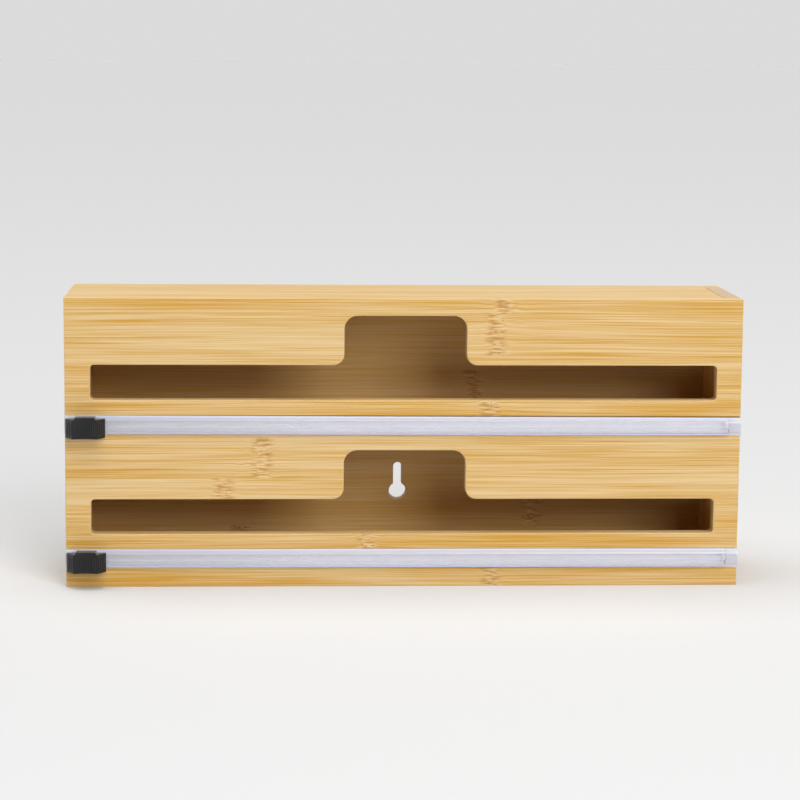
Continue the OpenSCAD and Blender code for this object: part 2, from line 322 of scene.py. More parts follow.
def bamboo(name, along, across, first_strip, strips, seed, depth=1.0, calm=1.0, sawn_look=1.0):
    """Strips of bamboo side by side, with fibres along one axis. Each strip has a knuckle at a place along
    it and a tone from golden to creamy. A board inside the box is painted darker by its depth, as shade,
    and its grain is calmer. Where sawn ends are sealed, they look less sawn."""

    # Every colour is multiplied by depth: painted shade on the boards inside the box
    def with_painted_shade(*colour):
        return tuple(part * depth for part in colour)

    gold, cream = with_painted_shade(0.620, 0.320, 0.030), with_painted_shade(0.775, 0.565, 0.285)
    knuckle_gold, knuckle_cream = with_painted_shade(0.490, 0.215, 0.025), with_painted_shade(0.800, 0.590, 0.290)
    knuckle_brown = with_painted_shade(0.300, 0.110, 0.020)
    painted_light_pale, wear_and_highlight = with_painted_shade(0.860, 0.640, 0.330), with_painted_shade(0.800, 0.560, 0.260)
    end_dark, end_pale = with_painted_shade(0.530, 0.360, 0.210), with_painted_shade(0.710, 0.530, 0.335)
    material, tree, shader = new_material(name)
    places = dict(zip("XYZ", place_in_mm(tree)))
    through = next(axis for axis in "XYZ" if axis not in (along, across))
    u, v, w = places[along], places[across], places[through]
    here = vector(tree, u, w, v)

    # The strip that a point lies in, with its knuckle's place and its tone
    strip_place = calc(tree, "DIVIDE", calc(tree, "SUBTRACT", v, first_strip), STRIP_H)
    strip = calc(tree, "FLOOR", strip_place)
    share = calc(tree, "DIVIDE", calc(tree, "ADD", strip, 0.5), len(strips))
    table = add(tree, "ShaderNodeValToRGB", {0: share})
    rows = table.color_ramp.elements
    table.color_ramp.interpolation = "CONSTANT"
    far_end = 0.99
    while len(rows) < len(strips):
        rows.new(far_end)
    for step, (knuckle_at, creamy) in enumerate(strips):
        rows[step].position = step / len(strips)
        rows[step].color = ((knuckle_at / KNUCKLE_REACH + 1) / 2, creamy, 0.0, 1.0)
    looked_up = add(tree, "ShaderNodeSeparateColor", {0: table.outputs["Color"]}).outputs
    knuckle_place = spread(tree, looked_up[0], 0, 1, -KNUCKLE_REACH, KNUCKLE_REACH)
    strip_tone = looked_up[1]

    # How far a point is along the fibres from the knuckle, whose sides are a little ragged
    ragged = spread(tree, noise(tree, here, RAG_WAVES), 0, 1, -KNUCKLE_RAG, KNUCKLE_RAG)
    from_knuckle = calc(tree, "ADD", calc(tree, "SUBTRACT", u, knuckle_place), ragged)
    core = spread(tree, calc(tree, "ABSOLUTE", from_knuckle), KNUCKLE_FADE, KNUCKLE_CORE)
    collar = bell(tree, from_knuckle, KNUCKLE_COLLAR)

    # Fibres run straight, and bend a little round the knuckles
    swirl = spread(tree, noise(tree, here, SWIRL_WAVES, 1.0), 0, 1, -FIBRE_BEND, FIBRE_BEND)
    drift = spread(tree, noise(tree, here, DRIFT_WAVES, 1.0), 0, 1, -FIBRE_BEND, FIBRE_BEND)
    bent = calc(tree, "ADD", calc(tree, "ADD", v, drift), calc(tree, "MULTIPLY", swirl, collar))
    own_u = calc(tree, "MULTIPLY_ADD", strip, STRIP_SHIFT_ALONG, calc(tree, "ADD", u, seed))
    own_v = calc(tree, "MULTIPLY_ADD", strip, STRIP_SHIFT_ACROSS, bent)
    fibre = vector(tree, own_u, w, own_v)
    hair = noise(tree, fibre, HAIR_WAVES)
    vein = noise(tree, fibre, VEIN_WAVES)
    cloud = noise(tree, fibre, CLOUD_WAVES)
    tone = 0.0
    for layer, weight in ((hair, 3.0), (vein, 1.3), (cloud, 0.9), (strip_tone, 0.5)):
        tone = calc(tree, "MULTIPLY_ADD", calc(tree, "SUBTRACT", layer, 0.5), weight, tone)
    full_cream = 0.45 * calm
    colour = blend(tree, spread(tree, tone, -full_cream, full_cream), gold, cream)

    # The knuckle: short dashes side by side, pale and brown, with a few dark pores
    dash = noise(tree, here, DASH_WAVES, 1.0)
    pore = noise(tree, here, PORE_WAVES, 0.0)
    knuckle = blend(tree, spread(tree, dash, 0.36, 0.64), knuckle_cream, knuckle_gold)
    knuckle = blend(tree, spread(tree, pore, 0.70, 0.78), knuckle, knuckle_brown)
    colour = blend(tree, calc(tree, "MULTIPLY", core, 0.78), colour, knuckle)

    # The glue line between two strips
    middle = calc(tree, "SUBTRACT", calc(tree, "FRACT", calc(tree, "ADD", strip_place, 0.5)), 0.5)
    glue = spread(tree, calc(tree, "ABSOLUTE", middle), 0.010, 0.004, 0.0, 0.30)
    colour = blend(tree, glue, colour, gold)

    # Edge faces such as the sills are painted paler, as light, rounded arrises carry a painted highlight,
    # and sawn ends show the layers of fibres and soak up lacquer
    normal = tree.nodes.new("ShaderNodeTexCoord").outputs["Normal"]
    facing = add(tree, "ShaderNodeSeparateXYZ", {0: normal}).outputs
    turned = {axis: calc(tree, "ABSOLUTE", facing[axis]) for axis in (along, across, through)}
    # Edge faces across the strips, such as the sills: painted light
    colour = blend(tree, spread(tree, turned[across], 0.6, 0.9, 0.0, 0.35), colour, painted_light_pale)
    # Rounded arrises: a painted highlight
    off_edge = spread(tree, turned[through], 0.2, 0.5)
    off_face = spread(tree, turned[through], 0.99, 0.9)
    arris_highlight = calc(tree, "MULTIPLY", off_edge, off_face)
    colour = blend(tree, calc(tree, "MULTIPLY", arris_highlight, 0.7), colour, wear_and_highlight)
    sawn = spread(tree, turned[along], 0.6, 0.9, 0.0, sawn_look)
    dots = noise(tree, here, SAWN_WAVES)
    colour = blend(tree, sawn, colour, blend(tree, spread(tree, dots, 0.35, 0.65), end_dark, end_pale))
    plug(tree, shader, {
        "Base Color": colour,
        "Roughness": vary(tree, hair, 0.46, 0.60),
        "Specular IOR Level": 0.4,
    })
    relief(tree, shader, hair, 0.12, 0.08 * MM)
    return material


bottom_board = eased_board("bottom_board", "Z")
bore_for_magnets(bottom_board, "bottom_board", "board_magnets", MAGNET_SEAT, PAST_FACE)
even_shading(bottom_board)
bottom_strips = [(60, 0.5), (-110, 0.4), (20, 0.6), (NO_KNUCKLE, 0.5)]
bottom_wood = bamboo("bamboo bottom board", "X", "Y", first_strip=-41.0, strips=bottom_strips, seed=3)
fit(bottom_board, "bottom_board", "box", bottom_wood)

# Left end panel
# A short board of the same stock, set between the top and bottom boards and pinned to all four of its
# neighbours. Its fibres run upright.
left_end_panel = eased_board("left_end_panel", "X")
even_shading(left_end_panel)
end_strips = [(95, 0.5), (38, 0.4), (112, 0.6), (60, 0.5)]
end_wood = bamboo("bamboo left end", "Z", "Y", first_strip=-37.0, strips=end_strips, seed=110)
fit(left_end_panel, "left_end_panel", "box", end_wood)

# Back panel
# A full-size board with one keyhole, sawn through, that hangs the box on a wall screw. It is seen from the
# front through the film slots and finger cutouts. Like the shelf, it is painted darker all over, as shade
# inside the box, and its grain is calmer.
KEYHOLE_HEAD_R = 4.5 * MM
KEYHOLE_SLOT_R = 2.2 * MM
KEYHOLE_HEAD_Z = 36.6 * MM
KEYHOLE_DROP = 13.1 * MM
KEYHOLE_EASE = 0.3 * MM
KEYHOLE_HEAD_STEPS = 28
KEYHOLE_SLOT_STEPS = 12
# Boards inside the box: painted darker, as shade, and with calmer grain
INSIDE_SHADE_AND_CALM = {"depth": 0.94, "calm": 1.8}


def arc(centre, radius, start, end, steps):
    """Points round a centre, from one angle to another in degrees."""
    turns = [math.radians(start + (end - start) * step / steps) for step in range(steps + 1)]
    return [(centre[0] + radius * math.cos(turn), centre[1] + radius * math.sin(turn)) for turn in turns]


def keyhole(widen):
    head, slot = KEYHOLE_HEAD_R + widen, KEYHOLE_SLOT_R + widen
    neck = math.degrees(math.acos(slot / head))
    points = arc((0, KEYHOLE_HEAD_Z), head, 180 - neck, 360 + neck, KEYHOLE_HEAD_STEPS)
    return points + arc((0, KEYHOLE_HEAD_Z + KEYHOLE_DROP), slot, 0, 180, KEYHOLE_SLOT_STEPS)


back_panel = eased_board("back_panel", "Y", [keyhole], KEYHOLE_EASE)
even_shading(back_panel)
back_strips = [(-82, 0.5), (71, 0.5), (-120, 0.6), (95, 0.4)]
back_strips += [(39, 0.5), (NO_KNUCKLE, 0.5), (-60, 0.6), (110, 0.5)]
back_wood = bamboo("bamboo back panel", "X", "Z", first_strip=-2.0, strips=back_strips, seed=230, **INSIDE_SHADE_AND_CALM)
fit(back_panel, "back_panel", "box", back_wood)

# Divider shelf
# A thinner board that parts the two roll spaces. Its front, back and left edges sit in shallow housings in
# the panels, and its right edge stops short of the end cover.
divider_shelf = eased_board("divider_shelf", "Z")
even_shading(divider_shelf)
shelf_strips = [(-70, 0.5), (130, 0.6), (NO_KNUCKLE, 0.5), (15, 0.4)]
shelf_wood = bamboo("bamboo shelf", "X", "Y", first_strip=-41.0, strips=shelf_strips, seed=310, **INSIDE_SHADE_AND_CALM)
fit(divider_shelf, "divider_shelf", "box", shelf_wood)

# Front panel
# The show face: one board, sawn out for two film slots with finger cutouts above them. The openings are
# eased by sanding, and two grooves are ploughed across the whole width for the cutter tracks.
SLOT_HALF = 155 * MM
SLOT_RISE = 18.6 * MM
SLOT_H = 17.4 * MM
SLOT_R = 2 * MM
CUTOUT_HALF = 30.2 * MM
CUTOUT_H = 24.5 * MM
CUTOUT_R = 6.5 * MM
SHOULDER_R = 5.5 * MM
SLOT_STEPS = 5
CUTOUT_STEPS = 10
SHOULDER_STEPS = 9
GROOVE_FIT = 0.05 * MM
GROOVE_GAP_D = 1.4 * MM

# How far each track's lower and upper edge lies in from its node's, and the groove's gap below and above the
# track, each at the left and the right end and in millimetres
TRACK_TRIMS = {"lower": ((0.7, 0.4), (0.0, 0.3)), "upper": ((0.6, 0.0), (0.0, 1.1))}
GROOVE_GAPS = {"lower": ((0.25, 0.15), (0.08, 0.08)), "upper": ((0.25, 0.08), (0.08, 0.80))}


def film_opening(floor, widen):
    """A film slot with the finger cutout above it, anticlockwise from the lower left corner."""
    lower = floor + SLOT_RISE
    upper = lower + SLOT_H
    top = upper + CUTOUT_H
    end = SLOT_HALF - SLOT_R
    side = CUTOUT_HALF - CUTOUT_R
    shoulder = CUTOUT_HALF + SHOULDER_R
    slot_r, cutout_r, shoulder_r = SLOT_R + widen, CUTOUT_R + widen, SHOULDER_R - widen
    points = arc((-end, lower + SLOT_R), slot_r, 180, 270, SLOT_STEPS)
    points += arc((end, lower + SLOT_R), slot_r, 270, 360, SLOT_STEPS)
    points += arc((end, upper - SLOT_R), slot_r, 0, 90, SLOT_STEPS)
    points += arc((shoulder, upper + SHOULDER_R), shoulder_r, 270, 180, SHOULDER_STEPS)
    points += arc((side, top - CUTOUT_R), cutout_r, 0, 90, CUTOUT_STEPS)
    points += arc((-side, top - CUTOUT_R), cutout_r, 90, 180, CUTOUT_STEPS)
    points += arc((-shoulder, upper + SHOULDER_R), shoulder_r, 0, -90, SHOULDER_STEPS)
    points += arc((-end, upper - SLOT_R), slot_r, 90, 180, SLOT_STEPS)
    return points


def lower_opening(widen):
    return film_opening(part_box("bottom_board")[1][2], widen)


def upper_opening(widen):
    return film_opening(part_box("divider_shelf")[1][2], widen)


def edges_at(x, edges):
    """Two measures at a place along the box, each given at its left and right end."""
    share = (x - front_low[0]) / (front_high[0] - front_low[0])
    return [(left + (right - left) * share) * MM for left, right in edges]


def track_edges(tier, x):
    """The lower and upper edge of a track at a place along it: it is stuck in by hand, a little askew."""
    low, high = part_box(tier + "_cutter_track")
    below, above = edges_at(x, TRACK_TRIMS[tier])
    return low[2] + below, high[2] - above


def extruded(name, outline_at, spans):
    """A piece that runs along X over each span; its outline in Y and Z is a function of the place there."""
    bm = bmesh.new()
    for ends in spans:
        rings = [[bm.verts.new((x, y, z)) for y, z in outline_at(x)] for x in ends]
        wall(bm, *rings)
        for ring in rings:
            bm.faces.new(ring)
    return new_piece(name, bm)


def plough(tier):
    """The cutting tool for a track's groove: a bar across the whole panel. It fits the track, and leaves a
    thin and shallow gap above and below it."""
    front, back = front_low[1] - PAST_FACE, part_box(tier + "_track_tape")[1][1]
    step_y = front_low[1] + GROOVE_GAP_D

    def outline_at(x):
        lower, upper = track_edges(tier, x)
        below, above = edges_at(x, GROOVE_GAPS[tier])
        outline = [(front, lower - below), (step_y, lower - below), (step_y, lower - GROOVE_FIT)]
        outline += [(back, lower - GROOVE_FIT), (back, upper + GROOVE_FIT), (step_y, upper + GROOVE_FIT)]
        return outline + [(step_y, upper + above), (front, upper + above)]

    return extruded("plough", outline_at, [(front_low[0] - PAST_FACE, front_high[0] + PAST_FACE)])


front_panel = eased_board("front_panel", "Y", [lower_opening, upper_opening])
cut_away(front_panel, [plough("lower"), plough("upper")])
even_shading(front_panel)
front_strips = [(44, 0.30), (-19, 0.45), (-90, 0.75), (-70, 0.70)]
front_strips += [(41, 0.60), (NO_KNUCKLE, 0.60), (45, 0.65), (49, 0.55)]
front_layout = {"first_strip": -7.0, "strips": front_strips, "seed": 470}
front_wood = bamboo("bamboo front panel", "X", "Z", **front_layout, sawn_look=0.4)
fit(front_panel, "front_panel", "box", front_wood)

# Top board
# The lid of the box, glued flush between the front and back panels. It stops short of the end cover, whose
# upper edge lies level with it, and its end is bored for the upper two magnets.
top_board = eased_board("top_board", "Z")
bore_for_magnets(top_board, "top_board", "board_magnets", MAGNET_SEAT, PAST_FACE)
even_shading(top_board)
# Its strips get the creamiest tones: creamy bamboo, and partly painted light, so the top face looks paler as
# if lit from above
top_strips = [(NO_KNUCKLE, 0.8), (NO_KNUCKLE, 0.9), (NO_KNUCKLE, 0.8), (NO_KNUCKLE, 0.9)]
top_wood = bamboo("bamboo top board", "X", "Y", first_strip=-41.0, strips=top_strips, seed=590)
fit(top_board, "top_board", "box", top_wood)

# Dowel pins
# Short fluted beech pins, glued into drilled holes, that hold the boards together. They pin the long joints
# of the top and bottom boards and every edge of the left end panel, and none of them shows outside.
DOWEL_R = 2 * MM
DOWEL_VALLEY_R = 1.82 * MM
DOWEL_L = 20 * MM
DOWEL_CHAMFER = 0.8 * MM
DOWEL_BITE = 5 * MM
DOWEL_MARGIN = 24.5 * MM
DOWEL_FLUTES = 14
DOWELS_ALONG = 4
END_DOWEL_SHARES = (0.25, 0.75)
WELD = 0.001 * MM


def new_tree(name, sizes):
    """An empty Geometry Nodes tree with a named input for each size, and the outputs that give them."""
    tree = bpy.data.node_groups.new(name, "GeometryNodeTree")
    tree.interface.new_socket("Geometry", in_out="INPUT", socket_type="NodeSocketGeometry")
    for size, kind in sizes.items():
        tree.interface.new_socket(size, in_out="INPUT", socket_type="NodeSocket" + kind)
    tree.interface.new_socket("Material", in_out="INPUT", socket_type="NodeSocketMaterial")
    tree.interface.new_socket("Geometry", in_out="OUTPUT", socket_type="NodeSocketGeometry")
    return tree, tree.nodes.new("NodeGroupInput").outputs


def end_tree(tree, given, result):
    """Makes what a tree has set out real, and gives it its finish."""
    real = add(tree, "GeometryNodeRealizeInstances", {"Geometry": result})
    finish = {"Geometry": real.outputs[0], "Material": given["Material"]}
    painted = add(tree, "GeometryNodeSetMaterial", finish)
    add(tree, "NodeGroupOutput", {"Geometry": painted.outputs[0]})


def grow(piece, tree, sizes):
    """Runs a tree on a piece with the sizes given, and keeps the result as the piece's own mesh."""
    run = piece.modifiers.new(tree.name, "NODES")
    run.node_group = tree
    for socket in tree.interface.items_tree:
        if socket.in_out == "INPUT" and socket.name in sizes:
            run[socket.identifier] = sizes[socket.name]
    settle(piece)


def joined(tree, *parts):
    """Parts put together, with the points where they meet made one."""
    whole = tree.nodes.new("GeometryNodeJoinGeometry")
    for part in parts:
        tree.links.new(part, whole.inputs[0])
    merge = {"Geometry": whole.outputs[0], "Distance": WELD}
    return add(tree, "GeometryNodeMergeByDistance", merge).outputs[0]


def drawn_out(tree, face, radius, length, chamfer):
    """A flat face drawn out to a length, with a chamfer round its far end."""
    straight = calc(tree, "SUBTRACT", length, chamfer)
    shank_inputs = {"Mesh": face, "Offset Scale": straight, "Individual": False}
    shank = add(tree, "GeometryNodeExtrudeMesh", shank_inputs).outputs
    nose_inputs = {"Mesh": shank["Mesh"], "Selection": shank["Top"]}
    nose_inputs |= {"Offset Scale": chamfer, "Individual": False}
    nose = add(tree, "GeometryNodeExtrudeMesh", nose_inputs).outputs
    taper = calc(tree, "DIVIDE", calc(tree, "SUBTRACT", radius, chamfer), radius)
    end = {"Geometry": nose["Mesh"], "Selection": nose["Top"], "Scale": taper}
    return add(tree, "GeometryNodeScaleElements", end).outputs[0]


pin_sizes = {"Flutes": "Int", "Radius": "Float", "Valley radius": "Float"}
pin_sizes |= {"Half length": "Float", "Chamfer": "Float"}
pin_tree, given = new_tree("dowel pins", pin_sizes)
star_inputs = {"Points": given["Flutes"], "Outer Radius": given["Radius"]}
star_inputs["Inner Radius"] = given["Valley radius"]
star = add(pin_tree, "GeometryNodeCurveStar", star_inputs)
section = add(pin_tree, "GeometryNodeFillCurve", {"Curve": star.outputs["Curve"]}, mode="NGONS")
half_pin = drawn_out(pin_tree, section.outputs[0], given["Radius"], given["Half length"], given["Chamfer"])
other_half = add(pin_tree, "GeometryNodeTransform", {"Geometry": half_pin, "Rotation": (math.pi, 0, 0)})
pin = joined(pin_tree, half_pin, other_half.outputs[0])
along = add(pin_tree, "GeometryNodeInputNamedAttribute", {"Name": "along"}, data_type="FLOAT_VECTOR")
lie = add(pin_tree, "FunctionNodeAlignRotationToVector", {"Vector": along.outputs["Attribute"]})
pin_inputs = {"Points": given["Geometry"], "Instance": pin, "Rotation": lie.outputs[0]}
end_tree(pin_tree, given, add(pin_tree, "GeometryNodeInstanceOnPoints", pin_inputs).outputs[0])

# The middle of each pin, and the way it lies
end_low, end_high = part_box("left_end_panel")
end_middle = (end_low + end_high) / 2
pin_middle = DOWEL_L / 2 - DOWEL_BITE
sides = (end_low[1] + pin_middle, end_high[1] - pin_middle)
pin_places = []
for board in ("bottom_board", "top_board"):
    board_low, board_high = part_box(board)
    first, last = end_high[0] + DOWEL_MARGIN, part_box("right_end_cover")[0][0] - DOWEL_MARGIN
    for step in range(DOWELS_ALONG):
        x = first + (last - first) * step / (DOWELS_ALONG - 1)
        pin_places += [((x, y, (board_low[2] + board_high[2]) / 2), (0, 1, 0)) for y in sides]
shelf_low, shelf_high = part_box("divider_shelf")
for z in ((end_low[2] + shelf_low[2]) / 2, (shelf_high[2] + end_high[2]) / 2):
    pin_places += [((end_middle[0], y, z), (0, 1, 0)) for y in sides]
for z in (end_low[2] + pin_middle, end_high[2] - pin_middle):
    for share in END_DOWEL_SHARES:
        y = end_low[1] + share * (end_high[1] - end_low[1])
        pin_places.append(((end_middle[0], y, z), (0, 0, 1)))

beech, tree, shader = new_material("raw beech")
grain = noise(tree, vector(tree, *place_in_mm(tree)), (0.9, 0.3, 0.5))
beech_dark, beech_pale = (0.520, 0.345, 0.155), (0.660, 0.470, 0.240)
beech_tone = blend(tree, spread(tree, grain, 0.35, 0.65), beech_dark, beech_pale)
plug(tree, shader, {"Base Color": beech_tone, "Roughness": 0.7})
relief(tree, shader, grain, 0.2, 0.1 * MM)

bm = bmesh.new()
for place, way in pin_places:
    bm.verts.new(place)
dowel_pins = new_piece("dowel_pins_wood", bm)
ways = dowel_pins.data.attributes.new("along", "FLOAT_VECTOR", "POINT")
for item, (place, way) in zip(ways.data, pin_places):
    item.vector = way
grow(dowel_pins, pin_tree, {
    "Flutes": DOWEL_FLUTES,
    "Radius": DOWEL_R,
    "Valley radius": DOWEL_VALLEY_R,
    "Half length": DOWEL_L / 2,
    "Chamfer": DOWEL_CHAMFER,
    "Material": beech,
})
fit(dowel_pins, "dowel_pins", "box")

# End cover
# A loose board that closes the right end, held by magnets and pulled off by a finger hole. Its fibres run
# upright, so its top edge shows sawn ends beside the top board.
FINGER_HOLE_R = 9 * MM
FINGER_HOLE_Z = 122 * MM
FINGER_HOLE_SIDES = 48


def finger_hole(widen):
    return arc((0, FINGER_HOLE_Z), FINGER_HOLE_R + widen, 0, 360, FINGER_HOLE_SIDES)[:-1]


right_end_cover = eased_board("right_end_cover", "X", [finger_hole])
bore_for_magnets(right_end_cover, "right_end_cover", "cover_magnets", PAST_FACE, MAGNET_SEAT)
even_shading(right_end_cover)
cover_strips = [(48, 0.5), (88, 0.4), (20, 0.6), (70, 0.5)]
cover_wood = bamboo("bamboo end cover", "Z", "Y", first_strip=-39.0, strips=cover_strips, seed=670)
fit(right_end_cover, "right_end_cover", "end_cover", cover_wood)

# Closing magnets
# Nickel plated discs glued into bores: four in the ends of the top and bottom boards, and four facing them
# in the end cover. Each set is one plain grid of two by two.
MAGNET_CHAMFER = 0.3 * MM

magnet_sizes = {"Sides": "Int", "Radius": "Float", "Thickness": "Float", "Chamfer": "Float"}
magnet_tree, given = new_tree("closing magnets", {**magnet_sizes, "Across": "Float", "Up": "Float"})
disc_inputs = {"Vertices": given["Sides"], "Radius": given["Radius"]}
disc = add(magnet_tree, "GeometryNodeMeshCircle", disc_inputs, fill_type="NGON").outputs[0]
drum = drawn_out(magnet_tree, disc, given["Radius"], given["Thickness"], given["Chamfer"])
underside = add(magnet_tree, "GeometryNodeFlipFaces", {"Mesh": disc}).outputs[0]
grid_inputs = {"Size X": given["Across"], "Size Y": given["Up"], "Vertices X": 2, "Vertices Y": 2}
corners = add(magnet_tree, "GeometryNodeMeshGrid", grid_inputs).outputs["Mesh"]
magnet_inputs = {"Points": corners, "Instance": joined(magnet_tree, drum, underside)}
end_tree(magnet_tree, given, add(magnet_tree, "GeometryNodeInstanceOnPoints", magnet_inputs).outputs[0])

nickel, tree, shader = new_material("nickel plating")
cloud = noise(tree, vector(tree, *place_in_mm(tree)), (0.9, 0.9, 0.9), 3.0)
nickel_dull, nickel_bright = (0.70, 0.69, 0.66), (0.82, 0.82, 0.82)
plug(tree, shader, {
    "Base Color": blend(tree, cloud, nickel_dull, nickel_bright),
    "Roughness": vary(tree, cloud, 0.16, 0.30),
    "Metallic": 1.0,
})

# The face that meets the other set looks out of its board
facing = {
    "board_magnets": ("box", 0, Matrix(((0, 0, 1), (1, 0, 0), (0, 1, 0)))),
    "cover_magnets": ("end_cover", 1, Matrix(((0, 0, -1), (-1, 0, 0), (0, 1, 0)))),
}
for node, (body, seat, turn) in facing.items():
    low, high = magnet_span(node)
    magnets = new_piece(node + "_nickel", bmesh.new())
    grow(magnets, magnet_tree, {
        "Sides": MAGNET_SIDES,
        "Radius": MAGNET_R,
        "Thickness": high[0] - low[0],
        "Chamfer": MAGNET_CHAMFER,
        "Across": high[1] - low[1],
        "Up": high[2] - low[2],
        "Material": nickel,
    })
    middle = (low + high) / 2
    middle[0] = (low, high)[seat][0]
    magnets.data.transform(Matrix.Translation(middle) @ turn.to_4x4())
    even_shading(magnets)
    fit(magnets, node, body)

# Cutter tracks
# Clear plastic extrusions with a channel behind a film slit and a sloping brow above it, bonded into the
# front panel's grooves with white foam tape. A solid clear block is glued in at each end as a stop.
TRACK_WALL = 1 * MM
TRACK_FACE = 1.1 * MM
TRACK_BACK_R = 0.2 * MM
CHANNEL_H = 6.2 * MM
CHANNEL_R = 0.1 * MM
LIP_H = 1.75 * MM
LIP_R = 0.4 * MM
SLIT_H = 2 * MM
SLIT_R = 0.25 * MM
BROW_H = 2.3 * MM
BROW_D = 1.2 * MM
BROW_R = 0.6 * MM
CREST_R = 0.5 * MM
CORNER_STEPS = 4
STOP_EASE = 0.12 * MM
STOP_EASE_STEPS = 3
STOP_SHARP_TURN = math.radians(60)

# Where the tones of the clear plastic start and where they are full, in millimetres up the track, in from
# its long edges, into its depth, along it and from its end
SLIT_SHADE_RISE = (0.85, 1.0)
SLIT_SHADE_FALL = (2.4, 1.6)
LIP_FALL = (1.8, 1.7)
BROW_RISE = (6.9, 7.4)
LOWER_EDGE = (0.95, 0.75)
UPPER_EDGE = (0.75, 0.45)
SKIN = (0.3, 0.9)
WHITE_TINT = (1.6, 2.4)
WHITE_BACK = (2.0, 2.7)
LEFT_END_SHADE = (-40.0, -165.0)
STOP_SHADOW_COVER = (4.0, 1.0)


def softened(corners):
    """An outline in Y and Z with its corners rounded; each corner carries how far its rounding reaches."""
    points = []
    for step, (y, z, reach) in enumerate(corners):
        corner = Vector((y, z))
        before = Vector(corners[step - 1][:2]) - corner
        after = Vector(corners[(step + 1) % len(corners)][:2]) - corner
        start = corner + before.normalized() * reach
        end = corner + after.normalized() * reach
        for turn in range(CORNER_STEPS + 1):
            share = turn / CORNER_STEPS
            points.append(start.lerp(corner, share).lerp(corner.lerp(end, share), share))
    return points


def dress(node, material):
    """Gives a CAD node that keeps its shape its finish."""
    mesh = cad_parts[node].data
    mesh.materials.clear()
    mesh.materials.append(material)


def milky(name, cloudiness, inside, glow, shadow):
    """Clear plastic, milky in its face, clearer inside and white at its back, where the tape shows through.
    Its two long edges are bluer, a painted highlight of the light that runs along inside; its brow is paler,
    as painted light; the slit's root is darker, as painted shade; and it darkens towards its left end, as
    painted shade. Beside the stops its face grows more opaque, as painted light over the stop's shadow in
    the channel. A block throws a faint shadow and glows as a whole, because light spreads in it."""
    face_dull, face_pale = (0.72, 0.72, 0.82), (0.76, 0.76, 0.85)
    slit_shade_grey, brow_light_pale = (0.66, 0.59, 0.64), (0.80, 0.79, 0.87)
    edge_highlight_blue, tape_white = (0.66, 0.74, 0.98), (0.92, 0.92, 0.97)
    black = (0.0, 0.0, 0.0)
    track_low, track_high = [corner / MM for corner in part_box("lower_cutter_track")]
    tier_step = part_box("upper_cutter_track")[0][2] / MM - track_low[2]
    material, tree, shader = new_material(name)
    x, y, z = place_in_mm(tree)
    depth = calc(tree, "SUBTRACT", y, track_low[1])
    up_track = calc(tree, "MODULO", calc(tree, "SUBTRACT", z, track_low[2]), tier_step)
    from_lower = add(tree, "ShaderNodeAttribute", attribute_name="from_lower").outputs["Fac"]
    from_upper = add(tree, "ShaderNodeAttribute", attribute_name="from_upper").outputs["Fac"]

    # Its colour, tone by tone
    draw_lines = noise(tree, vector(tree, x, y, z), (0.001, 0.9, 1.3), 1.0)
    tint = blend(tree, vary(tree, draw_lines), face_dull, face_pale)
    # A darker pinkish grey at the slit's root: painted shade
    slit_shade = calc(tree, "MULTIPLY", spread(tree, up_track, *SLIT_SHADE_RISE), spread(tree, up_track, *SLIT_SHADE_FALL))
    tint = blend(tree, slit_shade, tint, slit_shade_grey)
    # A paler tint on the brow: painted light
    brow = spread(tree, up_track, *BROW_RISE)
    tint = blend(tree, brow, tint, brow_light_pale)
    # Bluer long edges: a painted highlight
    lower_edge = spread(tree, from_lower, *LOWER_EDGE)
    upper_edge = spread(tree, from_upper, *UPPER_EDGE)
    edges = calc(tree, "MAXIMUM", lower_edge, upper_edge)
    tint = blend(tree, edges, tint, edge_highlight_blue)
    tint = blend(tree, spread(tree, depth, *WHITE_TINT), tint, tape_white)
    # Darker towards the left end: painted shade
    tint = blend(tree, spread(tree, x, *LEFT_END_SHADE, 0.0, 0.18), tint, black)

    # How far it hides what lies behind: its skin and core, the white back, the lip, brow and edges, and
    # beside the stops a more opaque cover, painted light over the stop's shadow in the channel
    skin = spread(tree, depth, *SKIN, cloudiness, inside)
    cloud = calc(tree, "MAXIMUM", skin, spread(tree, depth, *WHITE_BACK))
    lip = spread(tree, up_track, *LIP_FALL, 0.0, 0.55)
    thick = calc(tree, "MAXIMUM", lip, spread(tree, brow, 0, 1, 0.0, 0.72))
    solid = calc(tree, "MULTIPLY_ADD", edges, 0.2, thick)
    # Beside the stops the face is more opaque: painted light over the stop's shadow in the channel
    cover_start, cover_full = [track_high[0] - from_end for from_end in STOP_SHADOW_COVER]
    shadow_cover = spread(tree, calc(tree, "ABSOLUTE", x), cover_start, cover_full, 0.0, 0.6)
    opaque = calc(tree, "MAXIMUM", shadow_cover, calc(tree, "MAXIMUM", cloud, solid))
    in_shadow = tree.nodes.new("ShaderNodeLightPath").outputs["Is Shadow Ray"]
    let_through = spread(tree, in_shadow, 0.0, 1.0, 1.0, shadow)
    plug(tree, shader, {
        "Base Color": tint,
        "Roughness": vary(tree, draw_lines, 0.08, 0.20),
        "Alpha": calc(tree, "MULTIPLY", opaque, let_through),
        "Subsurface Weight": glow,
        "Subsurface Radius": (1.0, 1.0, 1.0),
        "Subsurface Scale": 4 * MM,
        "IOR": 1.49,
    })
    return material


clear_track = milky("clear extruded plastic", cloudiness=0.32, inside=0.12, glow=0.0, shadow=1.0)
clear_stop = milky("clear block plastic", cloudiness=0.75, inside=0.75, glow=1.0, shadow=0.2)

